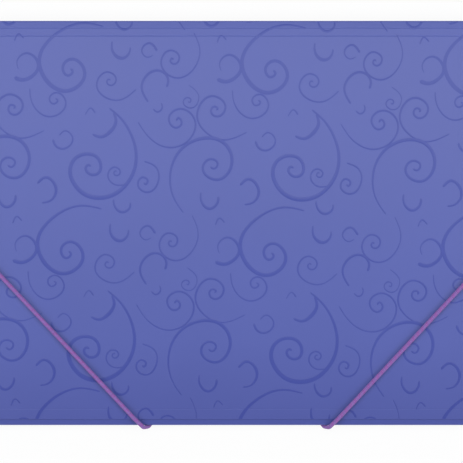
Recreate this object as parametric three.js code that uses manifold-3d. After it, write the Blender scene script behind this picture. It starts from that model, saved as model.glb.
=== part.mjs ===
// Elastic folder for A4 papers, lying closed on its back cover.
// One creased sheet of polypropylene makes the back cover, the spine and the front cover.
// The spine and the front cover turn at their creases, so each of them is a mesh of its own.
// X runs along the spine, +Y points to the spine, -Y to the fore edge, +Z out of the front cover.

import * as THREE from 'three';
import { mergeVertices } from 'three/addons/utils/BufferGeometryUtils.js';
import Module from 'manifold-3d';

const wasm = await Module();
wasm.setup();

// Driving dimensions, in millimetres and degrees
const folderLength = 320;
const folderWidth = 235;
const sheet = 0.5;
const clearance = 0.3;
const paperDepth = 3.4;

const bendRadius = 0.8;
const sideFlapDepth = 78;
const foreFlapDepth = 80;
const flapTaper = 14;
const flapCorner = 8;
const foreNotch = 4.6;
const spineNotch = 10;
const foreSlope = 4;
const foreDrop = 0.6;

const foreReveal = 3.5;
const coverCorner = 4;
const spineStrip = 4.2;
const spineStripTilt = 8;
const coverStrip = 4.7;
const coverStripTilt = 3;
const scoreWidth = 0.7;
const scoreDepth = 0.1;

const reliefHeight = 0.12;
const reliefRoot = 0.2;
const reliefMargin = 1.5;
const repeatAlong = [117.72, -1];
const repeatAcross = [-1, -105.97];
const firstRepeat = [-137.4, 129.58];
const stepsPerPoint = 1.5;

const cordDiameter = 2.4;
const cordFacets = 8;
const cordSlope = 1.068;
const edgeDrift = 0.55;
const foreCrossing = 55.4;
const foreHoleInset = 27.5;
const sideHoleInset = 30;
const cordTurnRadius = 1.6;
const cordTurnSteps = 4;

const barbDiameter = 1.6;
const barbLength = 12;
const crimpLength = 3.2;
const crimpWall = 0.25;

// Heights, built up from the floor under the elastics' back runs
const cordRadius = cordDiameter / 2;
const wrapRadius = cordRadius + clearance + reliefHeight;
const backBottom = cordRadius + wrapRadius;
const backTop = backBottom + sheet;
const sideFlapTop = backTop + paperDepth + sheet;
const foreFlapTop = sideFlapTop + clearance + sheet;
const coverTop = foreFlapTop + clearance + sheet;
const stripRise = coverStrip * Math.tan(THREE.MathUtils.degToRad(coverStripTilt));
const spineRise = spineStrip * Math.tan(THREE.MathUtils.degToRad(spineStripTilt));
const spineEdgeTop = coverTop - stripRise - spineRise;
const spineTop = spineEdgeTop - sheet - clearance;

const halfLength = folderLength / 2;
const halfWidth = folderWidth / 2;
const coverFore = halfWidth - foreReveal;
const panelStart = spineStrip + coverStrip;

const violetSheet = new THREE.MeshStandardMaterial({ color: 0x6169b2, roughness: 0.45, metalness: 0 });
const magentaBraid = new THREE.MeshStandardMaterial({ color: 0x8e63a8, roughness: 0.85, metalness: 0 });
const barbSteel = new THREE.MeshStandardMaterial({ color: 0xc4c6ca, roughness: 0.35, metalness: 1 });

// Solids: joins and cuts between closed geometries

function toSolid(geometry) {
  const bare = geometry.clone();
  bare.deleteAttribute('normal');
  bare.deleteAttribute('uv');
  const merged = mergeVertices(bare, 1e-4);
  return new wasm.Manifold(new wasm.Mesh({
    numProp: 3,
    vertProperties: new Float32Array(merged.attributes.position.array),
    triVerts: new Uint32Array(merged.index.array),
  }));
}

function toGeometry(solid) {
  const mesh = solid.getMesh();
  const geometry = new THREE.BufferGeometry();
  geometry.setAttribute('position', new THREE.BufferAttribute(new Float32Array(mesh.vertProperties), 3));
  geometry.setIndex(new THREE.BufferAttribute(new Uint32Array(mesh.triVerts), 1));
  geometry.computeVertexNormals();
  return geometry;
}

function named(name, geometry, material) {
  const mesh = new THREE.Mesh(geometry, material);
  mesh.name = name;
  return mesh;
}

// A plan outline in X and Y, raised from one height to another
function plate(outline, bottom, top) {
  const geometry = new THREE.ExtrudeGeometry(outline, {
    depth: top - bottom,
    bevelEnabled: false,
    curveSegments: 6,
  });
  return toSolid(geometry.translate(0, 0, bottom));
}

// A polygon whose corners are rounded by their own radii, given as [x, y, radius]
function roundedOutline(corners) {
  const outline = new THREE.Shape();
  corners.forEach(([x, y, radius], i) => {
    const corner = new THREE.Vector2(x, y);
    const towards = (other) => new THREE.Vector2(...other).sub(corner).setLength(radius).add(corner);
    const before = towards(corners.at(i - 1));
    const after = towards(corners[(i + 1) % corners.length]);
    if (i === 0) outline.moveTo(before.x, before.y);
    else outline.lineTo(before.x, before.y);
    if (radius > 0) outline.quadraticCurveTo(x, y, after.x, after.y);
  });
  outline.closePath();
  return outline;
}

// Gusset and flap

// The bent section from the back panel up the gusset, over a slope of the given length and rise, and in
// along the flap. Its first coordinate is the distance outwards from the middle, its second the height.
function foldedSection(edge, flapTop, flapDepth, slope, drop) {
  const section = new THREE.Shape();
  const centre = edge - bendRadius;
  const lap = centre - bendRadius;
  const inner = bendRadius - sheet;
  const tilt = slope > 0 ? Math.atan2(drop, slope) : 0;
  const shoulder = flapTop - drop - bendRadius;
  const level = edge - slope - bendRadius;
  section.moveTo(lap, backBottom);
  section.lineTo(centre, backBottom);
  section.absarc(centre, backBottom + bendRadius, bendRadius, -Math.PI / 2, 0, false);
  section.absarc(centre, shoulder, bendRadius, 0, Math.PI / 2 - tilt, false);
  section.lineTo(level, flapTop);
  section.lineTo(edge - flapDepth, flapTop);
  section.lineTo(edge - flapDepth, flapTop - sheet);
  section.lineTo(level, flapTop - sheet);
  section.absarc(centre, shoulder, inner, Math.PI / 2 - tilt, 0, true);
  section.absarc(centre, backBottom + bendRadius, inner, 0, -Math.PI / 2, true);
  section.lineTo(lap, backTop);
  section.closePath();
  return section;
}

// The section carried along the crease, then turned so that outwards and along lie in the plan
function foldedFlap(section, run, outwards, along, start) {
  const geometry = new THREE.ExtrudeGeometry(section, { depth: run, bevelEnabled: false, curveSegments: 6 });
  const turn = new THREE.Matrix4().makeBasis(outwards, new THREE.Vector3(0, 0, 1), along);
  turn.setPosition(start);
  return toSolid(geometry.applyMatrix4(turn));
}

function sideFlap(side) {
  const near = halfWidth - spineNotch;
  const far = -halfWidth + foreNotch;
  const outwards = new THREE.Vector3(side, 0, 0);
  const along = new THREE.Vector3(0, -side, 0);
  const start = new THREE.Vector3(0, side > 0 ? near : far, 0);
  const section = foldedSection(halfLength, sideFlapTop, sideFlapDepth, 0, 0);
  const strip = foldedFlap(section, near - far, outwards, along, start);
  const free = side * (halfLength - sideFlapDepth);
  const crease = side * (halfLength - bendRadius);
  const outer = side * (halfLength + bendRadius);
  const corners = [
    [outer, far, 0],
    [outer, near, 0],
    [crease, near, 0],
    [free, near - flapTaper, flapCorner],
    [free, far + flapTaper, flapCorner],
    [crease, far, 0],
  ];
  return strip.intersect(plate(roundedOutline(side > 0 ? corners : corners.reverse()), 0, coverTop));
}

function foreFlap() {
  const reach = halfLength - foreNotch;
  const outwards = new THREE.Vector3(0, -1, 0);
  const along = new THREE.Vector3(-1, 0, 0);
  const start = new THREE.Vector3(reach, 0, 0);
  const section = foldedSection(halfWidth, foreFlapTop, foreFlapDepth, foreSlope, foreDrop);
  const strip = foldedFlap(section, 2 * reach, outwards, along, start);
  const free = -halfWidth + foreFlapDepth;
  const crease = -halfWidth + bendRadius;
  const outer = -halfWidth - bendRadius;
  const corners = [
    [-reach, outer, 0],
    [reach, outer, 0],
    [reach, crease, 0],
    [reach - flapTaper, free, flapCorner],
    [-reach + flapTaper, free, flapCorner],
    [-reach, crease, 0],
  ];
  return strip.intersect(plate(roundedOutline(corners), 0, coverTop));
}

// Elastics: the route round the fore edge and the side edge

// A cord bent round the corners of an edge. Corners and result are [outwards, height] pairs.
// The cord leaves the top level and arrives below level, with an arc about every corner.
function wrapRound(corners) {
  const points = [];
  corners.forEach(([out, height], i) => {
    const angleTo = (a, b) => Math.atan2(b[1] - a[1], b[0] - a[0]) + Math.PI / 2;
    const first = i === 0 ? Math.PI / 2 : angleTo(corners[i - 1], corners[i]);
    const last = i === corners.length - 1 ? -Math.PI / 2 : angleTo(corners[i], corners[i + 1]);
    const steps = Math.max(1, Math.round((first - last) / (Math.PI / 2) * cordTurnSteps));
    for (let k = 0; k <= steps; k += 1) {
      const angle = first + (last - first) * k / steps;
      points.push([out + wrapRadius * Math.cos(angle), height + wrapRadius * Math.sin(angle)]);
    }
  });
  return points;
}

// The same bend laid out in space: as the cord goes round the edge it also advances along it.
// It keeps its heading as far as the outer fold. From there friction holds it short of that advance.
function wrapAlong(points, slope, fold) {
  let advance = 0;
  return points.map((point, i) => {
    const before = points[Math.max(i - 1, 0)];
    const share = before[0] < fold ? 1 : edgeDrift;
    advance += Math.hypot(point[0] - before[0], point[1] - before[1]) * slope * share;
    return [...point, advance];
  });
}

// A quarter turn from the back run up into a hole, ending at the given height
function riseInto(x, y, heading, top) {
  const points = [];
  for (let k = 0; k <= cordTurnSteps; k += 1) {
    const angle = Math.PI / 2 * k / cordTurnSteps;
    const back = cordTurnRadius * (1 - Math.sin(angle));
    points.push(new THREE.Vector3(
      x - heading.x * back,
      y - heading.y * back,
      cordRadius + cordTurnRadius * (1 - Math.cos(angle)),
    ));
  }
  points.push(new THREE.Vector3(x, y, top));
  return points;
}

const foreWrap = wrapAlong(
  wrapRound([[coverFore, coverTop], [halfWidth, foreFlapTop - foreDrop], [halfWidth, backBottom]]),
  1 / cordSlope,
  halfWidth,
);
const sideWrap = wrapAlong(
  wrapRound([[halfLength, coverTop], [halfLength, backBottom]]),
  cordSlope,
  halfLength,
);
const foreTopX = foreCrossing + (halfWidth - coverFore) / cordSlope;
const sideTopY = -coverFore + (halfLength - foreTopX) * cordSlope;
const foreHole = {
  x: foreTopX - foreWrap.at(-1)[2] - foreHoleInset / cordSlope,
  y: -halfWidth + foreHoleInset,
};
const sideHole = {
  x: halfLength - sideHoleInset,
  y: sideTopY + sideWrap.at(-1)[2] + sideHoleInset * cordSlope,
};

// Points of one elastic from its fore hole to its side hole, for side 1 on the right and -1 on the left
function elasticRoute(side) {
  const heading = new THREE.Vector2(-1, cordSlope).normalize();
  const fore = foreWrap.map(([out, height, advance]) => new THREE.Vector3(foreTopX - advance, -out, height));
  const points = [
    ...riseInto(foreHole.x, foreHole.y, heading, backTop).reverse(),
    ...fore.reverse(),
    ...sideWrap.map(([out, height, advance]) => new THREE.Vector3(out, sideTopY + advance, height)),
    ...riseInto(sideHole.x, sideHole.y, heading, backTop),
  ];
  return points.map((point) => new THREE.Vector3(point.x * side, point.y, point.z));
}

// A curve that steps through the given points one by one, however far apart they are
class RouteCurve extends THREE.Curve {
  constructor(points) {
    super();
    this.points = points;
  }

  getPointAt(u, target = new THREE.Vector3()) {
    const place = u * (this.points.length - 1);
    const i = Math.min(Math.floor(place), this.points.length - 2);
    return target.lerpVectors(this.points[i], this.points[i + 1], place - i);
  }

  getTangentAt(u, target = new THREE.Vector3()) {
    const i = Math.round(u * (this.points.length - 1));
    const into = this.points[i].clone().sub(this.points[Math.max(i - 1, 0)]).normalize();
    const next = this.points[Math.min(i + 1, this.points.length - 1)];
    const outOf = next.clone().sub(this.points[i]).normalize();
    return target.addVectors(into, outOf).normalize();
  }
}

function elastic(side) {
  const points = elasticRoute(side);
  const section = new THREE.Shape();
  for (let k = 0; k < cordFacets; k += 1) {
    const angle = 2 * Math.PI * k / cordFacets;
    section[k ? 'lineTo' : 'moveTo'](cordRadius * Math.cos(angle), cordRadius * Math.sin(angle));
  }
  section.closePath();
  const tube = new THREE.ExtrudeGeometry(section, {
    steps: points.length - 1,
    extrudePath: new RouteCurve(points),
    bevelEnabled: false,
  });
  return toGeometry(toSolid(tube));
}

// Back cover: panel, two side flaps and the fore flap in one solid

function backCover() {
  const side = halfLength - bendRadius;
  const fore = -halfWidth + bendRadius;
  const rear = halfWidth - sheet - clearance;
  const outline = roundedOutline([[-side, fore, 0], [side, fore, 0], [side, rear, 0], [-side, rear, 0]]);
  const holeRadius = cordRadius + clearance;
  for (const hand of [-1, 1]) {
    for (const hole of [foreHole, sideHole]) {
      outline.holes.push(new THREE.Path().absarc(hand * hole.x, hole.y, holeRadius, 0, 2 * Math.PI, true));
    }
  }
  const panel = plate(outline, backBottom, backTop);
  return toGeometry(panel.add(sideFlap(-1)).add(sideFlap(1)).add(foreFlap()));
}

// Spine: the wall between the two creases

function spinePanel() {
  const inner = halfWidth - sheet;
  const outline = roundedOutline([
    [-halfLength, inner, 0],
    [halfLength, inner, 0],
    [halfLength, halfWidth, 0],
    [-halfLength, halfWidth, 0],
  ]);
  return toGeometry(plate(outline, backBottom, spineTop));
}

// Front cover: two tilted strips at the spine, the panel and its curls in relief

// The section from the spine edge to the fore edge, as [distance from the spine edge, height] pairs
function coverSection() {
  const lip = scoreWidth / 2;
  const spineSlope = spineRise / spineStrip;
  const coverSlope = stripRise / coverStrip;
  const firstScore = spineEdgeTop + spineRise;
  const reach = folderWidth - foreReveal;
  const top = [
    [0, spineEdgeTop],
    [spineStrip - lip, firstScore - lip * spineSlope],
    [spineStrip, firstScore - scoreDepth],
    [spineStrip + lip, firstScore + lip * coverSlope],
    [panelStart - lip, coverTop - lip * coverSlope],
    [panelStart, coverTop - scoreDepth],
    [panelStart + lip, coverTop],
    [reach, coverTop],
  ];
  const bottom = [
    [reach, coverTop - sheet],
    [panelStart, coverTop - sheet],
    [spineStrip, firstScore - sheet],
    [0, spineEdgeTop - sheet],
  ];
  return new THREE.Shape([...top, ...bottom].map(([x, y]) => new THREE.Vector2(x, y)));
}

// The curls of one repeat, in millimetres right of and down from its corner.
// Each is a smooth stroke through its points, widest in its middle.
const curls = [
  {
    width: 2,
    through: [
      [40, 44], [36.5, 39.5], [42, 34.5], [49.5, 42.5], [39, 53],
      [23, 36], [32, 20.5], [60.5, 15.5],
    ],
  },
  { width: 1.5, through: [[8.5, 45.5], [19, 44.5], [22.5, 38.5], [15.5, 31], [10, 36], [11, 40.5]] },
  {
    width: 1.2,
    through: [[32.5, 58], [29, 57.5], [33, 54], [38.5, 60], [29.5, 68], [18.5, 59], [17.5, 51.5]],
  },
  { width: 1.7, through: [[65.5, 24], [66, 30.5], [71.5, 34], [76, 27.5]] },
  { width: 2, through: [[66, 65.5], [67.5, 70.5], [63.5, 77.5], [54, 78.5]] },
  {
    width: 2.2,
    through: [
      [63.5, 63], [77, 80], [78, 100], [67, 113.5], [48, 110.5],
      [41, 100], [43.5, 93], [56.5, 91.5], [58, 101], [50.5, 99],
    ],
  },
  { width: 1.4, through: [[66.5, 116], [66.5, 119], [71.5, 124], [76, 118]] },
  {
    width: 1.2,
    through: [[126, 63], [126.5, 68], [131.5, 62.5], [124, 56], [115, 67], [119.5, 76.5], [144, 77]],
  },
  {
    width: 1.2,
    through: [[100, 34.5], [104.5, 33.5], [99.5, 29.5], [94, 36.5], [103, 45.5], [116.5, 32], [113, 19]],
  },
  { width: 1.3, through: [[86.5, 59.5], [82.5, 50], [90.5, 41], [98, 46.5], [97, 50.5]] },
  {
    width: 1.2,
    through: [
      [103, 70], [106, 71], [103, 74.5], [98.5, 69.5], [104.5, 63.5],
      [113.5, 69.5], [111.5, 80], [99.5, 86], [88.5, 81.5], [80.5, 71],
    ],
  },
  {
    width: 1.8,
    through: [
      [124, 97], [127, 96], [122.5, 93], [118, 98], [126.5, 105], [135.5, 95],
      [129.5, 82.5], [119, 80.5], [104, 88.5], [99, 103.5], [107, 124],
    ],
  },
  { width: 1.7, through: [[140.5, 108], [145, 104.5], [151, 110.5], [142.5, 119.5]] },
  { width: 1.3, through: [[117, 112], [117, 116.5], [122.5, 122], [127.5, 115]] },
];

// One stroke as a narrow plate whose two ends run out to points
function curlPlate({ width, through }, corner) {
  const centres = through.map(([x, y]) => new THREE.Vector2(corner[0] + x, corner[1] - y));
  const line = new THREE.SplineCurve(centres);
  const count = Math.round(through.length * stepsPerPoint) + 1;
  const sides = [[], []];
  for (let k = 0; k <= count; k += 1) {
    const along = k / count;
    const centre = line.getPoint(along);
    const tangent = line.getTangent(along);
    const half = width / 2 * Math.sin(Math.PI * along) ** 0.5;
    const across = new THREE.Vector2(-tangent.y, tangent.x).multiplyScalar(half);
    sides[0].push(centre.clone().add(across));
    if (k > 0 && k < count) sides[1].unshift(centre.clone().sub(across));
  }
  return plate(new THREE.Shape([...sides[0], ...sides[1]]), coverTop - reliefRoot, coverTop + reliefHeight);
}

function reliefOn(panel) {
  const strokes = [];
  for (let row = -1; row <= Math.ceil(folderWidth / -repeatAcross[1]); row += 1) {
    for (let column = -1; column <= Math.ceil(folderLength / repeatAlong[0]); column += 1) {
      const corner = [0, 1].map((i) => firstRepeat[i] + column * repeatAlong[i] + row * repeatAcross[i]);
      strokes.push(...curls.map((curl) => curlPlate(curl, corner)));
    }
  }
  return wasm.Manifold.union(strokes).intersect(panel);
}

function frontCover() {
  const geometry = new THREE.ExtrudeGeometry(coverSection(), { depth: folderLength, bevelEnabled: false });
  const turn = new THREE.Matrix4().makeBasis(
    new THREE.Vector3(0, -1, 0),
    new THREE.Vector3(0, 0, 1),
    new THREE.Vector3(-1, 0, 0),
  );
  turn.setPosition(halfLength, halfWidth, 0);
  const sheetSolid = toSolid(geometry.applyMatrix4(turn));
  const outline = (inset, spineSide) => roundedOutline([
    [-halfLength + inset, -coverFore + inset, coverCorner],
    [halfLength - inset, -coverFore + inset, coverCorner],
    [halfLength - inset, spineSide, 0],
    [-halfLength + inset, spineSide, 0],
  ]);
  const trimmed = sheetSolid.intersect(plate(outline(0, halfWidth), 0, coverTop + sheet));
  const panelEdge = halfWidth - panelStart - reliefMargin;
  const decorated = plate(outline(reliefMargin, panelEdge), 0, coverTop + sheet);
  return toGeometry(trimmed.add(reliefOn(decorated)));
}

// Barbs: a metal bar across each hole, with a crimped collar in its middle that holds the end of the elastic

function barb(side, hole) {
  const barRadius = barbDiameter / 2;
  const collarRadius = barRadius + crimpWall;
  const bar = new THREE.CapsuleGeometry(barRadius, barbLength - barbDiameter, 4, 12);
  const collar = new THREE.CylinderGeometry(collarRadius, collarRadius, crimpLength, 12);
  const solid = toSolid(bar).add(toSolid(collar));
  const geometry = toGeometry(solid);
  geometry.rotateZ(Math.PI / 2);
  return geometry.translate(side * hole.x, hole.y, backTop + clearance + collarRadius);
}

// Assembly, set down with the middle of its floor area at the origin

const folder = new THREE.Group();
folder.add(
  named('back_cover', backCover(), violetSheet),
  named('spine_panel', spinePanel(), violetSheet),
  named('front_cover', frontCover(), violetSheet),
);
for (const [hand, side] of [['left', -1], ['right', 1]]) {
  folder.add(
    named(`${hand}_elastic`, elastic(side), magentaBraid),
    named(`${hand}_fore_barb`, barb(side, foreHole), barbSteel),
    named(`${hand}_side_barb`, barb(side, sideHole), barbSteel),
  );
}
const extent = new THREE.Box3().setFromObject(folder);
const middle = extent.getCenter(new THREE.Vector3());
folder.position.set(-middle.x, -middle.y, -extent.min.z);

export default folder;
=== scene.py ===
# An elastic folder for A4 papers, lying closed on its back cover.
# Violet-blue polypropylene sheet with curls in relief, and two magenta elastics over its fore corners.
import math

import bmesh
import bpy
import numpy as np
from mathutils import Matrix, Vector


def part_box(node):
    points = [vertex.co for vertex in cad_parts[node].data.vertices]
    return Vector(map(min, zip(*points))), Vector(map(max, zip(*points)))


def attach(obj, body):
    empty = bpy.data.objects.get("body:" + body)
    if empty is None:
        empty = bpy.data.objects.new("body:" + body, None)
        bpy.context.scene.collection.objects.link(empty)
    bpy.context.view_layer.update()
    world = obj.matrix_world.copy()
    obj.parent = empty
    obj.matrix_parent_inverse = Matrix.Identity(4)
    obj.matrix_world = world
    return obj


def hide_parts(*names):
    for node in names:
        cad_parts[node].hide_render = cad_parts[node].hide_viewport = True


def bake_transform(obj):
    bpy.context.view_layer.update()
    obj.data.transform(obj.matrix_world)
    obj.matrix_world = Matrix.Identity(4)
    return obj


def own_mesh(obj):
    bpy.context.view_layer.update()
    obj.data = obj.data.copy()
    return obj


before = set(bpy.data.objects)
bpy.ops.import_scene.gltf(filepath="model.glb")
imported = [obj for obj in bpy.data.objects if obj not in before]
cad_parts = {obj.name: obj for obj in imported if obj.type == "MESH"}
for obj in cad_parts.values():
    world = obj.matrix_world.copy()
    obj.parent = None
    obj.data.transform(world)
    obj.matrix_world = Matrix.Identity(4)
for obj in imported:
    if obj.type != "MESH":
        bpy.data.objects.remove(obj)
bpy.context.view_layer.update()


# Camera and light
# The photograph looks straight down on the front cover, and its frame cuts off both short sides.
# A long lens keeps the edges parallel. A strip of soft light hangs over the spine half, and a lamp
# stands on each side.
mm = 0.001
cover_low, cover_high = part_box("front_cover")
spine_edge = cover_high.y
folder_width = 235 * mm
middle_y = spine_edge - folder_width / 2
photo_span = 268.87 * mm
camera_height = 1.2
camera_offset = (-2.8 * mm, -4.9 * mm)
sensor = 36.0
nearest_seen = 10 * mm
strip_place = (0, 0.16, 0.62)
strip_aim = (0, 0.15, 0)
strip_size = (1.8, 0.26)
strip_watts = 2.9
side_lamp_out = 1.3
side_lamp_fore = 0.35
side_lamp_up = 0.9
side_lamp_size = (0.9, 0.9)
side_lamp_watts = 11.5
white = (1, 1, 1, 1)
air_light = 0.3

camera_data = bpy.data.cameras.new("camera")
camera_data.sensor_width = sensor
camera_data.lens = sensor * (camera_height - cover_high.z) / photo_span
camera_data.clip_start = nearest_seen
camera = bpy.data.objects.new("camera", camera_data)
camera.location = (camera_offset[0], middle_y + camera_offset[1], camera_height)
bpy.context.scene.collection.objects.link(camera)
bpy.context.scene.camera = camera
bpy.context.scene.view_settings.view_transform = "Standard"


def soft_light(name, place, aim, size, watts):
    """A rectangular lamp at place, turned so that its face looks at aim."""
    data = bpy.data.lights.new(name, "AREA")
    data.shape = "RECTANGLE"
    data.size, data.size_y = size
    data.energy = watts
    lamp = bpy.data.objects.new(name, data)
    lamp.location = place
    x, y, z = (a - p for a, p in zip(aim, place))
    lamp.rotation_euler = (math.atan2(math.hypot(x, y), -z), 0, math.atan2(x, -y) + math.pi)
    lamp.visible_camera = False
    bpy.context.scene.collection.objects.link(lamp)


soft_light("spine_strip_light", strip_place, strip_aim, strip_size, strip_watts)
for name, side in (("left_light", -1), ("right_light", 1)):
    lamp_place = (side * side_lamp_out, -side_lamp_fore, side_lamp_up)
    soft_light(name, lamp_place, (0, 0, 0), side_lamp_size, side_lamp_watts)
world = bpy.data.worlds.new("studio_air")
world.use_nodes = True
air = world.node_tree
air.nodes["Background"].inputs["Color"].default_value = white
air_rays = air.nodes.new("ShaderNodeLightPath")
air_level = air.nodes.new("ShaderNodeMapRange")
air_level.inputs["To Min"].default_value = air_light
air_level.inputs["To Max"].default_value = 1
air.links.new(air_rays.outputs["Is Camera Ray"], air_level.inputs["Value"])
air.links.new(air_level.outputs["Result"], air.nodes["Background"].inputs["Strength"])
bpy.context.scene.world = world


# Floor
# A plain pale ground that the folder lies on. The camera and mirrors see it near white, and it keeps
# the folder's soft shadow.
floor_half = 3.0
floor_grey = (0.86, 0.86, 0.87)
floor_glow = 0.9
floor_mesh = bpy.data.meshes.new("floor")
floor_corners = [(-floor_half, -floor_half, 0), (floor_half, -floor_half, 0)]
floor_corners += [(floor_half, floor_half, 0), (-floor_half, floor_half, 0)]
floor_mesh.from_pydata(floor_corners, [], [(0, 1, 2, 3)])
floor = bpy.data.objects.new("floor", floor_mesh)
bpy.context.scene.collection.objects.link(floor)
floor_paint = bpy.data.materials.new("pale_ground")
floor_paint.use_nodes = True
tree = floor_paint.node_tree
tree.nodes.clear()
matte = tree.nodes.new("ShaderNodeBsdfDiffuse")
matte.inputs["Color"].default_value = (*floor_grey, 1)
glow = tree.nodes.new("ShaderNodeEmission")
glow.inputs["Color"].default_value = white
rays = tree.nodes.new("ShaderNodeLightPath")
seen = tree.nodes.new("ShaderNodeMath")
seen.operation = "MAXIMUM"
share = tree.nodes.new("ShaderNodeMath")
share.operation = "MULTIPLY"
share.inputs[1].default_value = floor_glow
blend = tree.nodes.new("ShaderNodeMixShader")
ground = tree.nodes.new("ShaderNodeOutputMaterial")
tree.links.new(rays.outputs["Is Camera Ray"], seen.inputs[0])
tree.links.new(rays.outputs["Is Glossy Ray"], seen.inputs[1])
tree.links.new(seen.outputs["Value"], share.inputs[0])
tree.links.new(share.outputs["Value"], blend.inputs["Fac"])
tree.links.new(matte.outputs["BSDF"], blend.inputs[1])
tree.links.new(glow.outputs["Emission"], blend.inputs[2])
tree.links.new(blend.outputs["Shader"], ground.inputs["Surface"])
floor_mesh.materials.append(floor_paint)


# Front cover
# One panel of 0.5 mm polypropylene sheet, die-cut and creased. Two score lines beside the spine let it
# bend down to the spine edge in two narrow strips. Its outer face is finely frosted.
sheet = 0.5 * mm
relief_height = 0.12 * mm
half_length = cover_high.x
cover_top = cover_high.z - relief_height
cover_depth = cover_high.y - cover_low.y
cover_corner = 4 * mm
rim = 0.12 * mm
spine_strip = 4.2 * mm
cover_strip = 4.7 * mm
spine_strip_tilt = math.radians(8)
cover_strip_tilt = math.radians(3)
crease_round = 0.5 * mm
crease_side_tilt = math.radians(5.5)
score_half = 0.35 * mm
score_depth = 0.1 * mm
fore_score = 6.1 * mm
fore_score_depth = 0.04 * mm
flat_start = 12 * mm
flat_rings = 40
score_rings = 9
corner_rings = 14
cover_columns = 33
sheet_blue = (0.058, 0.085, 0.376)
# Painted shade: the sheet's colour darkens towards the fore edge, to this tone at the cover's free edge.
fore_shade_reach = 45 * mm
fore_shade_tone = (0.80, 0.81, 0.89)
plastic_bend_of_light = 1.49
cloud_scale = 14
cloud_detail = 3
cloud_tint = 0.05
cloud_gloss = 0.04
frost_scale = 2600
frost_detail = 2
frost_depth = 0.03 * mm


def cover_height(distance):
    """Height of the outer face by distance from the spine edge: a rounded crease, two slopes and the
    level panel, with a V groove at the end of each slope and one near the fore edge."""
    first = cover_top - cover_strip * math.tan(cover_strip_tilt)
    edge = first - spine_strip * math.tan(spine_strip_tilt)
    rounded = first - (spine_strip - crease_round) * math.tan(crease_side_tilt)
    bends = [0, crease_round, spine_strip, spine_strip + cover_strip, folder_width]
    height = np.interp(distance, bends, [edge, rounded, first, cover_top, cover_top])
    for place, depth in (
        (spine_strip, score_depth),
        (spine_strip + cover_strip, score_depth),
        (cover_depth - fore_score, fore_score_depth),
    ):
        height = height - depth * np.clip(1 - np.abs(distance - place) / score_half, 0, 1)
    return height


def sheet_paint(name, colour, roughness, grain, specular):
    """Polypropylene: a clear violet-blue body under a frosted skin, with a fine grain and slight clouds.
    The real sheet is translucent. Here its colour carries painted shade, darker towards the fore edge,
    where the folder under it is hollow."""
    paint = bpy.data.materials.new(name)
    paint.use_nodes = True
    nodes, links = paint.node_tree.nodes, paint.node_tree.links
    skin = nodes["Principled BSDF"]
    skin.inputs["Specular IOR Level"].default_value = specular
    skin.inputs["IOR"].default_value = plastic_bend_of_light
    place = nodes.new("ShaderNodeTexCoord")
    clouds = nodes.new("ShaderNodeTexNoise")
    clouds.inputs["Scale"].default_value = cloud_scale
    clouds.inputs["Detail"].default_value = cloud_detail
    tint = nodes.new("ShaderNodeMix")
    tint.data_type = "RGBA"
    tint.inputs["A"].default_value = (*((1 - cloud_tint) * c for c in colour), 1)
    tint.inputs["B"].default_value = (*((1 + cloud_tint) * c for c in colour), 1)
    parts = nodes.new("ShaderNodeSeparateXYZ")
    # Painted shade: a ramp by distance from the fore edge darkens the colour.
    fore_shade_ramp = nodes.new("ShaderNodeMapRange")
    fore_shade_ramp.inputs["From Min"].default_value = cover_low.y
    fore_shade_ramp.inputs["From Max"].default_value = cover_low.y + fore_shade_reach
    fore_shade_mix = nodes.new("ShaderNodeMix")
    fore_shade_mix.data_type = "RGBA"
    fore_shade_mix.inputs["A"].default_value = (*fore_shade_tone, 1)
    fore_shade_mix.inputs["B"].default_value = white
    body = nodes.new("ShaderNodeVectorMath")
    body.operation = "MULTIPLY"
    frost = nodes.new("ShaderNodeTexNoise")
    frost.inputs["Scale"].default_value = frost_scale
    frost.inputs["Detail"].default_value = frost_detail
    gloss = nodes.new("ShaderNodeMapRange")
    gloss.inputs["To Min"].default_value = roughness - cloud_gloss
    gloss.inputs["To Max"].default_value = roughness + cloud_gloss
    dents = nodes.new("ShaderNodeBump")
    dents.inputs["Strength"].default_value = grain
    dents.inputs["Distance"].default_value = frost_depth
    links.new(place.outputs["Object"], clouds.inputs["Vector"])
    links.new(place.outputs["Object"], frost.inputs["Vector"])
    links.new(clouds.outputs["Fac"], tint.inputs["Factor"])
    links.new(place.outputs["Object"], parts.inputs["Vector"])
    links.new(parts.outputs["Y"], fore_shade_ramp.inputs["Value"])
    links.new(fore_shade_ramp.outputs["Result"], fore_shade_mix.inputs["Factor"])
    links.new(tint.outputs["Result"], body.inputs[0])
    links.new(fore_shade_mix.outputs["Result"], body.inputs[1])
    links.new(body.outputs["Vector"], skin.inputs["Base Color"])
    links.new(clouds.outputs["Fac"], gloss.inputs["Value"])
    links.new(gloss.outputs["Result"], skin.inputs["Roughness"])
    links.new(frost.outputs["Fac"], dents.inputs["Height"])
    links.new(dents.outputs["Normal"], skin.inputs["Normal"])
    return paint


def make_piece(name, vertices, faces, paint, smooth_angle=35):
    """A mesh object at the origin from arrays of points and faces, with every face turned outwards."""
    mesh = bpy.data.meshes.new(name)
    mesh.from_pydata(vertices.tolist(), [], faces.tolist())
    work = bmesh.new()
    work.from_mesh(mesh)
    bmesh.ops.recalc_face_normals(work, faces=work.faces)
    work.to_mesh(mesh)
    work.free()
    mesh.polygons.foreach_set("use_smooth", np.ones(len(mesh.polygons), bool))
    mesh.set_sharp_from_angle(angle=math.radians(smooth_angle))
    mesh.materials.append(paint)
    piece = bpy.data.objects.new(name, mesh)
    bpy.context.scene.collection.objects.link(piece)
    return piece


def ring_faces(rings, points):
    """Quads between neighbouring rings of points, each closed on itself, and quads over both ends."""
    ring, point = np.mgrid[0:rings - 1, 0:points]
    after = (point + 1) % points
    near, far = ring * points, (ring + 1) * points
    sides = np.stack([near + point, near + after, far + after, far + point], -1).reshape(-1, 4)
    half = points // 2
    step = np.arange(half - 1)
    cap = np.stack([step, step + 1, points - 2 - step, points - 1 - step], -1)
    return np.vstack([sides, cap, cap + (rings - 1) * points])


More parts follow.
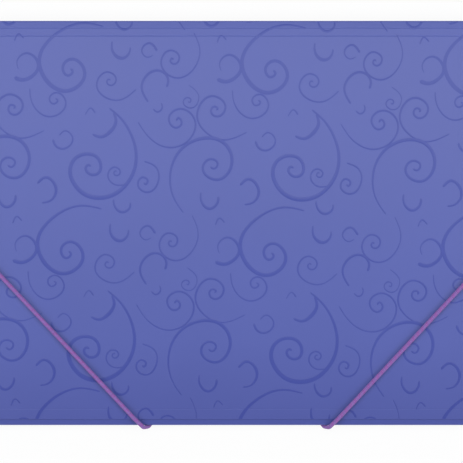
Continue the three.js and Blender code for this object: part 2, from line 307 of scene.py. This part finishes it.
def sheet_surface(distance, half, top, thickness, columns):
    """A flat sheet as rings across X: a top row, then a bottom row back, with a rounded rim all round.
    distance, half and top are arrays: the place of each ring, its half length and its outer height."""
    ends = np.zeros(len(distance))
    ends[[0, -1]] = rim
    across = np.linspace(-1, 1, columns)
    inner = (half - rim - ends)[:, None] * across
    edge = (half - ends)[:, None]
    x = np.hstack([-edge, inner, edge, edge, inner[:, ::-1], -edge])
    upper, lower = top - ends, top - thickness + ends
    row = np.ones((1, columns))
    z = np.hstack([
        (upper - rim)[:, None], upper[:, None] * row, (upper - rim)[:, None],
        (lower + rim)[:, None], lower[:, None] * row, (lower + rim)[:, None],
    ])
    y = np.repeat((spine_edge - distance)[:, None], x.shape[1], 1)
    return np.stack([x, y, z], -1).reshape(-1, 3), x.shape[1]


# Rings across the cover, close together where its outer face bends
near_scores = np.concatenate([[-1.5, -1.1], np.linspace(-1, 1, score_rings), [1.1, 1.5]]) * score_half
stations = np.concatenate([
    [0, rim, crease_round / 2, crease_round, 2 * crease_round],
    spine_strip + near_scores,
    spine_strip + cover_strip + near_scores,
    np.linspace(flat_start, cover_depth - 2 * fore_score, flat_rings),
    cover_depth - fore_score + near_scores,
    cover_depth - cover_corner * np.cos(np.linspace(0, np.pi / 2, corner_rings)[:-1]),
    [cover_depth - rim, cover_depth],
])
stations = np.unique(stations)
to_fore = np.clip(cover_corner - (cover_depth - stations), 0, cover_corner)
cover_half = half_length - cover_corner + np.sqrt(cover_corner**2 - to_fore**2)
cover_half = np.maximum(cover_half, half_length - cover_corner + 2 * rim)
points, ring_size = sheet_surface(
    stations, cover_half, cover_height(stations), sheet, cover_columns,
)
frosted = sheet_paint("frosted_sheet", sheet_blue, roughness=0.44, grain=0.25, specular=0.9)
cover_panel = make_piece("cover_panel", points, ring_faces(len(stations), ring_size), frosted)
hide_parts("front_cover")
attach(cover_panel, "front")


# Curls in relief
# Scrolls, open rings and crescents stand a few hundredths of a millimetre proud all over the outer face.
# They are pressed in by the roller that frosts the ground, and stay clear and smooth, so they look
# darker. Each kind stands a micron higher than the one before, so that no two faces coincide.
curl_root = 0.15 * mm
curl_height = 0.04 * mm
curl_lift = 0.001 * mm
curl_step = 0.8 * mm
curl_unit = 0.997 * mm
curl_swell = 1.12
tip_share = 0.03
spline_steps = 20
fewest_steps = 4
shortest_run = 3
repeat_along = np.array([117.72, -1.0]) * mm
repeat_across = np.array([-1.0, -105.97]) * mm
first_repeat = np.array([-137.4 * mm, middle_y + 129.58 * mm])
repeat_rows = range(-1, 4)
repeat_columns = range(-2, 4)
curl_trim = 0.25 * mm

# One repeat, in curl units right of and down from its corner
# Each stroke has its widths before the swell, at start, middle and end, then the points it runs through
curls = [
    ((1.2, 2.2, 0.8), [
        (41.1, 40), (42.5, 41.5), (40.1, 44), (36.7, 39.5), (42, 34.5), (49.5, 42.5), (39, 53),
        (23, 36), (32, 20.5), (49, 13.5), (60.5, 15.5),
    ]),
    ((2.1, 1.5, 0.4), [
        (8.5, 45.2), (13.5, 46.6), (19, 44.3), (22.5, 38.5), (15.5, 31), (10, 36), (11, 40.5),
    ]),
    ((0.9, 0.9, 0.6), [
        (32.4, 57.4), (33.8, 58.5), (31.4, 60.5), (29, 57.5), (33, 54), (38.5, 60), (29.5, 68), (18.5, 59),
        (17.5, 51.5),
    ]),
    ((0.7, 1.8, 0.7), [(65.5, 24), (66, 30.5), (71.5, 34), (76, 29), (76, 27.5)]),
    ((0.8, 0.9, 0.6), [
        (64.6, 46.9), (63.4, 46.2), (62.4, 47.8), (64.8, 49.8), (67.8, 46.6), (63, 42), (56.5, 49.5),
        (68, 58.5), (79.5, 52),
    ]),
    ((0.5, 0.6, 0.9), [(49.8, 67), (53, 63), (55.7, 66)]),
    ((1.2, 2.0, 1.1), [(66.3, 65.5), (67.7, 70.5), (64, 77), (59, 79.8), (54, 78.2)]),
    ((0.9, 2.4, 1.3), [
        (63.8, 63), (71, 69.5), (77.2, 80), (79.5, 90.5), (78, 100), (74, 107), (67, 113), (58, 115.2),
        (49.3, 113), (44, 108), (41, 100), (43.3, 93), (50.5, 89.7), (56.5, 91.5), (58.9, 96.5),
        (57.6, 100.7), (54.4, 101.9), (50.7, 99.9), (50.2, 97.4), (51.6, 96.1), (53.2, 97),
    ]),
    ((0.8, 0.9, 0.6), [
        (68.3, 100), (67.5, 99.5), (66.5, 100.9), (68.1, 102.3), (70.2, 100.2), (67, 97.4), (63, 102),
        (67, 107.5), (73, 107.5),
    ]),
    ((0.9, 1.4, 0.8), [(66.3, 116), (66.6, 119), (71.5, 123.6), (76, 120.2), (76, 118)]),
    ((1.3, 0.9, 0.6), [(31, 81.2), (32.3, 84.5), (36.7, 86.7), (42.5, 80.5), (38, 76.3), (34.6, 79)]),
    ((1.1, 1.1, 0.5), [
        (126.1, 64.3), (127, 63.3), (124.9, 62.1), (123.1, 65), (126.6, 67.9), (131.5, 62.5), (124, 56),
        (115, 67), (119.5, 76.5), (130, 81.5), (144, 77),
    ]),
    ((1.0, 0.9, 0.5), [
        (101.2, 34.9), (100.5, 33.9), (99.4, 35.4), (101.6, 37.3), (104.6, 33.4), (99.5, 29.4), (94, 36.5),
        (103, 45.5), (116.5, 32), (113, 19),
    ]),
    ((1.3, 0.9, 0.4), [(91.7, 29.8), (87, 25.2), (82.7, 29.6), (86, 33.4), (89.5, 32)]),
    ((1.0, 1.3, 1.2), [(86.5, 59.5), (82.7, 50), (90.5, 41.2), (95, 42), (98.1, 46.5), (97.2, 50.8)]),
    ((0.7, 0.9, 0.7), [(94, 60), (94.7, 62.5), (92, 65.3), (89.3, 63.4)]),
    ((0.7, 0.6, 0.4), [
        (109.7, 58.9), (110.5, 59.7), (111.4, 58.4), (109.3, 56.9), (106.9, 59.5), (111.5, 63), (116, 57),
        (110, 49.5),
    ]),
    ((1.1, 1.0, 0.5), [
        (102.8, 70.5), (104, 68.7), (106, 71), (103, 74.4), (98.5, 69.5), (104.5, 63.5), (113.5, 69.5),
        (111.5, 80), (99.5, 86), (88.5, 81.5), (80.5, 71),
    ]),
    ((1.0, 1.9, 0.6), [
        (122.6, 97.1), (124.8, 98.3), (127, 95.6), (122.8, 92.7), (118.3, 98), (126.5, 104.7), (135.2, 95),
        (129.5, 82.5), (119, 80.5), (104.2, 88.7), (99.2, 103.5), (101.5, 115.5), (107, 124),
    ]),
    ((0.7, 0.8, 0.7), [(126.6, 25), (129, 20.8), (132.1, 23.5)]),
    ((1.3, 1.6, 0.8), [(140, 108), (144.7, 104.3), (150.8, 110.5), (147, 118.2), (142.5, 119.2)]),
    ((0.8, 1.5, 1.2), [(117.3, 112), (117.2, 116.5), (122.4, 121.6), (127.3, 116.5), (127.3, 114.5)]),
    ((1.1, 1.0, 0.7), [
        (84, 106.4), (84.8, 107.4), (86.2, 105.8), (83.3, 103.3), (80.5, 107.5), (86, 112), (92.5, 105),
        (91, 97.5), (84, 94),
    ]),
]


def smooth_line(through, step):
    """A cubic spline through the given points, whose bend changes evenly, resampled to even steps.
    Its headings at the points solve the usual band of equations, with the chords as the parameter."""
    knots = np.asarray(through, float)
    count = len(knots) - 1
    chord = np.linalg.norm(np.diff(knots, axis=0), axis=1)
    slope = np.diff(knots, axis=0) / chord[:, None]
    left, right = np.append(chord[1:], 1), np.insert(chord[:-1], 0, 1)
    band = np.diag(np.concatenate([[2], 2 * (chord[1:] + chord[:-1]), [2]]))
    band += np.diag(left, -1) + np.diag(right, 1)
    inner = left[:-1, None] * slope[:-1] + right[1:, None] * slope[1:]
    heading = np.linalg.solve(band, 3 * np.vstack([slope[:1], inner, slope[-1:]]))
    place = np.linspace(0, count, spline_steps * count + 1)
    first = np.minimum(place.astype(int), count - 1)
    t = (place - first)[:, None]
    start, end, reach = knots[first], knots[first + 1], chord[first][:, None]
    line = start * (1 + 2 * t) * (1 - t)**2 + end * t**2 * (3 - 2 * t)
    line += reach * t * (1 - t) * (heading[first] * (1 - t) - heading[first + 1] * t)
    length = np.concatenate([[0], np.cumsum(np.linalg.norm(np.diff(line, axis=0), axis=1))])
    even = np.linspace(0, length[-1], max(fewest_steps, round(length[-1] / step)) + 1)
    return np.stack([np.interp(even, length, line[:, k]) for k in range(line.shape[1])], -1), even


def curl_ribbon(through, widths, corner):
    """Centre points, unit normals and half widths of one stroke. Its two ends are rounded off."""
    line, along = smooth_line(np.array(through) * curl_unit, curl_step)
    line = corner + line * (1, -1)
    heading = np.gradient(line, along, axis=0)
    heading /= np.linalg.norm(heading, axis=1)[:, None]
    normal = np.stack([-heading[:, 1], heading[:, 0]], -1)
    half = np.interp(along, np.linspace(0, along[-1], 3), widths) * curl_swell * mm / 2
    to_end = np.minimum(along, along[-1] - along) / half.max()
    return line, normal, half * np.sqrt(np.clip(1 - (1 - np.clip(to_end, 0, 1))**2, tip_share, 1))


def curl_shell(line, normal, half, height_above, surface, out, bounds):
    """A closed ribbon on a surface: flat on top, with sloping flanks that go down into the sheet.
    surface gives the outer height at a place, and out is 1 upwards or -1 downwards."""
    profile = np.array([(-1, -1), (-1, 0.1), (-0.75, 1), (0.75, 1), (1, 0.1), (1, -1)])
    across = line[:, None] + normal[:, None] * half[:, None, None] * profile[None, :, :1]
    across = np.clip(across, bounds[0], bounds[1])
    rise = np.where(profile[:, 1] < 0, -curl_root, profile[:, 1] * height_above)
    height = surface(across) + out * rise
    return np.concatenate([across, height[..., None]], -1)


def relief(name, surface, out, bounds, mirror, paint):
    """Every stroke of every repeat that reaches the panel, as one mesh of closed ribbons."""
    vertices, faces, made = [], [], 0
    low, high = (np.array(b) for b in bounds)
    for row in repeat_rows:
        for column in repeat_columns:
            corner = first_repeat + column * repeat_along + row * repeat_across
            for kind, (widths, through) in enumerate(curls):
                height_above = curl_height + kind * curl_lift
                line, normal, half = curl_ribbon(through, widths, corner)
                line = line * (mirror, 1)
                normal = normal * (mirror, 1)
                inside = np.all((line > low - half[:, None]) & (line < high + half[:, None]), axis=1)
                edges = np.flatnonzero(np.diff(inside.astype(int))) + 1
                for run in np.split(np.arange(len(line)), edges):
                    if not inside[run[0]] or len(run) < shortest_run:
                        continue
                    shell = curl_shell(
                        line[run], normal[run], half[run], height_above, surface, out, (low, high),
                    )
                    vertices.append(shell.reshape(-1, 3))
                    faces.append(ring_faces(len(run), shell.shape[1]) + made)
                    made += shell.shape[0] * shell.shape[1]
    return make_piece(name, np.vstack(vertices), np.vstack(faces), paint)


clear_blue = (0.058, 0.080, 0.350)
clear = sheet_paint("clear_curl", clear_blue, roughness=0.3, grain=0.04, specular=0.4)
cover_bounds = (
    (-half_length + curl_trim, cover_low.y + curl_trim),
    (half_length - curl_trim, spine_edge - curl_trim),
)
cover_curls = relief(
    "cover_curls", lambda place: cover_height(spine_edge - place[..., 1]), 1, cover_bounds, 1, clear,
)
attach(cover_curls, "front")


# Back cover with its gussets and inner flaps
# The same sheet goes on behind the spine: a back panel, and three flaps that fold in over the papers.
# Its folds are those of the solid, welded so that they shade as round bends. Curls cover its back.
weld_reach = 0.001 * mm
back_smooth_angle = 25
back_low, back_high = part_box("back_cover")
back_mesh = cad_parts["back_cover"].data.copy()
weld = bmesh.new()
weld.from_mesh(back_mesh)
bmesh.ops.remove_doubles(weld, verts=weld.verts, dist=weld_reach)
weld.to_mesh(back_mesh)
weld.free()
back_mesh.polygons.foreach_set("use_smooth", np.ones(len(back_mesh.polygons), bool))
back_mesh.set_sharp_from_angle(angle=math.radians(back_smooth_angle))
back_mesh.materials.clear()
back_mesh.materials.append(frosted)
back_sheet = bpy.data.objects.new("back_sheet", back_mesh)
bpy.context.scene.collection.objects.link(back_sheet)
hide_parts("back_cover")
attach(back_sheet, "back")
back_margin = 1.2 * mm
back_bounds = (
    (-half_length + back_margin, back_low.y + back_margin),
    (half_length - back_margin, back_high.y - back_margin),
)
back_curls = relief(
    "back_curls", lambda place: np.full(place.shape[:-1], back_low.z), -1, back_bounds, -1, clear,
)
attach(back_curls, "back")


# Spine and its two creases
# The wall between the covers is the same sheet, and turns at a crease on each side. A crease is a line
# pressed thin by a steel rule, which bends as a living hinge.
spine_low, spine_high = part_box("spine_panel")
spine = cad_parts["spine_panel"]
spine.data.materials.clear()
spine.data.materials.append(frosted)
crease_lap = 0.2 * mm
crease_inset = 0.1 * mm
crease_sheet = 0.3 * mm
crease_end = 0.4 * mm
crease_rows = 7
crease_columns = 33


def crease_strip(name, start, end, across):
    """A thin bar along X from start to end, both (y, z) points, and across is its thickness as (y, z).
    It laps into the sheets on both sides, and bends between their bodies."""
    start, end, across = (np.array(p) for p in (start, end, across))
    lap = (end - start) / np.linalg.norm(end - start) * crease_lap
    t = np.linspace(0, 1, crease_rows)[:, None]
    line = (start - lap) * (1 - t) + (end + lap) * t
    ring = np.vstack([line, line[::-1] + across])
    x = np.linspace(-1, 1, crease_columns) * (half_length - crease_end)
    points = np.empty((len(x), len(ring), 3))
    points[..., 0] = x[:, None]
    points[..., 1:] = ring
    strip = make_piece(name, points.reshape(-1, 3), ring_faces(len(x), len(ring)), frosted)
    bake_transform(strip)
    return strip


crease_strip(
    "rear_crease",
    (back_high.y, back_low.z + crease_inset),
    (spine_low.y, back_low.z + crease_inset),
    (0, crease_sheet),
)
crease_strip(
    "front_crease",
    (spine_edge - crease_inset, spine_high.z),
    (spine_edge - crease_inset, cover_low.z),
    (-crease_sheet, 0),
)


# Elastics
# A round braided cord, rubber core under magenta yarn, 2.4 mm thick. Both ends go up through punched
# holes in the back cover. From hole to hole it wraps round the fore edge, the front and the short side.
# As the cover opens it flattens towards the floor, where the real one is pulled off the corners first.
cord_radius = 1.2 * mm
cord_gap = 0.1 * mm
snug_radius = cord_radius + cord_gap
cord_slope = 1.068
edge_drift = 0.55
fore_crossing = 55.4 * mm
fore_hole_inset = 27.5 * mm
side_hole_inset = 30 * mm
cord_turn = 1.6 * mm
half_width = folder_width / 2
back_bottom = back_low.z
back_top = back_bottom + sheet
fore_reach = middle_y - cover_low.y
fore_drop = 0.6 * mm
fore_bend_top = back_high.z - fore_drop
cord_middle = cord_radius
cord_sides = 32
cord_step = 0.3 * mm
cord_ease = 0.85 * mm
same_place = 0.01 * mm
arc_points = 12
turn_points = 10
bell_reach = 3
braid_strands = 8
braid_pitch = 1.7 * mm
braid_relief = 0.06 * mm
strand_roundness = 0.6
stripe_pitch = 3.8 * mm
braid_pink = (0.370, 0.130, 0.455)
braid_violet = (0.310, 0.180, 0.515)
# Painted shade: the braid's colour darkens to this violet where its surface is lowest, between the
# strands.
braid_painted_shade = (0.143, 0.067, 0.282)
yarn_roughness = 0.8
yarn_specular = 0.3
yarn_sheen = 0.15
fibre_scale = 4000
fluff_strength = 0.3
fluff_depth = 0.04 * mm


def wrap_round(corners):
    """(outwards, height) points, normals and travel round the corners of an edge, an arc about each.
    The arc is snug at the top and outside, and widens below to meet the run that lies on the floor.
    Travel is how far the cord goes along its heading. Past the outer fold friction holds it back."""
    corners = np.array(corners)
    step = np.diff(corners, axis=0)
    turn = np.concatenate([[np.pi / 2], np.arctan2(step[:, 1], step[:, 0]) + np.pi / 2, [-np.pi / 2]])
    angle = np.concatenate([np.linspace(a, b, arc_points) for a, b in zip(turn[:-1], turn[1:])])
    centre = np.repeat(corners, arc_points, axis=0)
    normal = np.stack([np.cos(angle), np.sin(angle)], -1)
    radius = np.interp(angle, [-np.pi / 2, 0], [back_bottom - cord_middle, snug_radius])
    place = centre + radius[:, None] * normal
    share = np.where(place[:-1, 0] < corners[-1, 0], 1, edge_drift)
    travel = np.cumsum(np.linalg.norm(np.diff(place, axis=0), axis=1) * share)
    return place, normal, np.concatenate([[0], travel])


def rise_into(x, y, top):
    """Points and normals of the quarter turn from the back run up into a hole, then straight to top."""
    heading = np.array([-1, cord_slope]) / math.hypot(1, cord_slope)
    angle = np.linspace(0, np.pi / 2, turn_points)
    back_off = cord_turn * (1 - np.sin(angle))
    place = np.stack([
        x - heading[0] * back_off,
        y - heading[1] * back_off,
        cord_middle + cord_turn * (1 - np.cos(angle)),
    ], -1)
    normal = np.stack([heading[0] * np.sin(angle), heading[1] * np.sin(angle), -np.cos(angle)], -1)
    return np.vstack([place, [x, y, top]]), np.vstack([normal, [*heading, 0]])


def elastic_route(side):
    """Centre points and outward normals from the fore hole to the side hole."""
    place, normal, travel = wrap_round([
        (fore_reach, cover_top), (half_width, fore_bend_top), (half_width, back_bottom),
    ])
    fore_top_x = fore_crossing + (half_width - fore_reach) / cord_slope
    advance = travel / cord_slope
    fore = np.stack([fore_top_x - advance, middle_y - place[:, 0], place[:, 1]], -1)[::-1]
    fore_normal = np.stack([np.zeros(len(normal)), -normal[:, 0], normal[:, 1]], -1)[::-1]
    fore_hole = (
        fore_top_x - advance[-1] - fore_hole_inset / cord_slope,
        middle_y - half_width + fore_hole_inset,
    )
    place, normal, travel = wrap_round([(half_length, cover_top), (half_length, back_bottom)])
    side_top_y = middle_y - fore_reach + (half_length - fore_top_x) * cord_slope
    advance = travel * cord_slope
    over = np.stack([place[:, 0], side_top_y + advance, place[:, 1]], -1)
    over_normal = np.stack([normal[:, 0], np.zeros(len(normal)), normal[:, 1]], -1)
    side_hole = (half_length - side_hole_inset, side_top_y + advance[-1] + side_hole_inset * cord_slope)
    first, first_normal = rise_into(*fore_hole, back_top)
    last, last_normal = rise_into(*side_hole, back_top)
    points = np.vstack([first[::-1], fore, over, last])
    normals = np.vstack([first_normal[::-1], fore_normal, over_normal, last_normal])
    return points * (side, 1, 1), normals * (side, 1, 1)


def ease(values, spread):
    """The rows averaged with a bell-shaped weight, as a taut cord rounds its corners. The ends stay."""
    reach = int(bell_reach * spread) + 1
    weight = np.exp(-0.5 * (np.arange(-reach, reach + 1) / spread)**2)
    weight /= weight.sum()
    ends = (2 * values[:1] - values[reach:0:-1], 2 * values[-1:] - values[-2:-reach - 2:-1])
    padded = np.vstack([ends[0], values, ends[1]])
    return np.stack([np.convolve(padded[:, k], weight, "valid") for k in range(values.shape[1])], -1)


def braided_cord(name, side, paint):
    """A tube round the route. Its radius rises and falls where two families of helical strands cross,
    and its colour follows one broad helix of pinker yarn."""
    points, normals = elastic_route(side)
    keep = np.concatenate([[True], np.linalg.norm(np.diff(points, axis=0), axis=1) > same_place])
    points, normals = points[keep], normals[keep]
    length = np.concatenate([[0], np.cumsum(np.linalg.norm(np.diff(points, axis=0), axis=1))])
    even = np.linspace(0, length[-1], round(length[-1] / cord_step) + 1)
    line = np.stack([np.interp(even, length, points[:, k]) for k in range(3)], -1)
    up = np.stack([np.interp(even, length, normals[:, k]) for k in range(3)], -1)
    line = ease(line, cord_ease / cord_step)
    up = ease(up, 2 * cord_ease / cord_step)
    heading = np.gradient(line, axis=0)
    heading /= np.linalg.norm(heading, axis=1)[:, None]
    up -= heading * np.sum(up * heading, axis=1)[:, None]
    up /= np.linalg.norm(up, axis=1)[:, None]
    across = np.cross(heading, up)
    turn = np.linspace(0, 2 * np.pi, cord_sides, endpoint=False)[None]
    twist = 2 * np.pi * even[:, None] / braid_pitch
    braid = np.sin(braid_strands / 2 * turn + twist / 2) * np.sin(braid_strands / 2 * turn - twist / 2)
    raised = np.abs(braid)**strand_roundness
    radius = cord_radius - braid_relief * (1 - raised)
    ring = up[:, None] * np.cos(turn)[..., None] + across[:, None] * np.sin(turn)[..., None]
    shell = line[:, None] + ring * radius[..., None]
    faces = ring_faces(len(line), cord_sides)
    cord = make_piece(name, shell.reshape(-1, 3), faces, paint, smooth_angle=180)
    stripe = 0.5 + 0.5 * np.sin(turn + 2 * np.pi * even[:, None] / stripe_pitch)
    for label, level in (("yarn", raised), ("stripe", stripe)):
        values = cord.data.attributes.new(label, "FLOAT", "POINT")
        values.data.foreach_set("value", level.reshape(-1).astype(np.float32))
    return cord


def braid_paint():
    """Yarn: pink and violet strands, with painted shade of darker violet in the hollows between them, matt
    with a soft sheen.
    """
    paint = bpy.data.materials.new("magenta_braid")
    paint.use_nodes = True
    nodes, links = paint.node_tree.nodes, paint.node_tree.links
    skin = nodes["Principled BSDF"]
    skin.inputs["Roughness"].default_value = yarn_roughness
    skin.inputs["Specular IOR Level"].default_value = yarn_specular
    skin.inputs["Sheen Weight"].default_value = yarn_sheen
    yarn = nodes.new("ShaderNodeAttribute")
    yarn.attribute_name = "yarn"
    place = nodes.new("ShaderNodeTexCoord")
    fibre = nodes.new("ShaderNodeTexNoise")
    fibre.inputs["Scale"].default_value = fibre_scale
    tint = nodes.new("ShaderNodeMix")
    tint.data_type = "RGBA"
    # Painted shade: the colour darkens where the braid's surface is lowest.
    tint.inputs["A"].default_value = (*braid_painted_shade, 1)
    stripe = nodes.new("ShaderNodeAttribute")
    stripe.attribute_name = "stripe"
    strand = nodes.new("ShaderNodeMix")
    strand.data_type = "RGBA"
    strand.inputs["A"].default_value = (*braid_violet, 1)
    strand.inputs["B"].default_value = (*braid_pink, 1)
    fluff = nodes.new("ShaderNodeBump")
    fluff.inputs["Strength"].default_value = fluff_strength
    fluff.inputs["Distance"].default_value = fluff_depth
    links.new(place.outputs["Object"], fibre.inputs["Vector"])
    links.new(stripe.outputs["Fac"], strand.inputs["Factor"])
    links.new(strand.outputs["Result"], tint.inputs["B"])
    links.new(yarn.outputs["Fac"], tint.inputs["Factor"])
    links.new(tint.outputs["Result"], skin.inputs["Base Color"])
    links.new(fibre.outputs["Fac"], fluff.inputs["Height"])
    links.new(fluff.outputs["Normal"], skin.inputs["Normal"])
    return paint


braid = braid_paint()
for hand, side in (("left", -1), ("right", 1)):
    cord = braided_cord(f"{hand}_braid", side, braid)
    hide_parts(f"{hand}_elastic")
    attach(cord, "back")
    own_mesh(cord)


# Barbs
# A plated steel bar lies across each hole on the inner face of the back cover and holds the cord's end.
# The four bars stay as packed, and get their metal here.
steel_scale = 900
steel_dark = (0.55, 0.56, 0.57)
steel_light = (0.72, 0.73, 0.74)
steel_smoothest = 0.22
steel_roughest = 0.38
steel = bpy.data.materials.new("plated_steel")
steel.use_nodes = True
steel_nodes, steel_links = steel.node_tree.nodes, steel.node_tree.links
steel_skin = steel_nodes["Principled BSDF"]
steel_skin.inputs["Metallic"].default_value = 1
steel_place = steel_nodes.new("ShaderNodeTexCoord")
steel_noise = steel_nodes.new("ShaderNodeTexNoise")
steel_noise.inputs["Scale"].default_value = steel_scale
steel_tint = steel_nodes.new("ShaderNodeMix")
steel_tint.data_type = "RGBA"
steel_tint.inputs["A"].default_value = (*steel_dark, 1)
steel_tint.inputs["B"].default_value = (*steel_light, 1)
steel_gloss = steel_nodes.new("ShaderNodeMapRange")
steel_gloss.inputs["To Min"].default_value = steel_smoothest
steel_gloss.inputs["To Max"].default_value = steel_roughest
steel_links.new(steel_place.outputs["Object"], steel_noise.inputs["Vector"])
steel_links.new(steel_noise.outputs["Fac"], steel_tint.inputs["Factor"])
steel_links.new(steel_tint.outputs["Result"], steel_skin.inputs["Base Color"])
steel_links.new(steel_noise.outputs["Fac"], steel_gloss.inputs["Value"])
steel_links.new(steel_gloss.outputs["Result"], steel_skin.inputs["Roughness"])
for hand in ("left", "right"):
    for place in ("fore", "side"):
        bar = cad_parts[f"{hand}_{place}_barb"].data
        bar.materials.clear()
        bar.materials.append(steel)
        bar.polygons.foreach_set("use_smooth", np.ones(len(bar.polygons), bool))
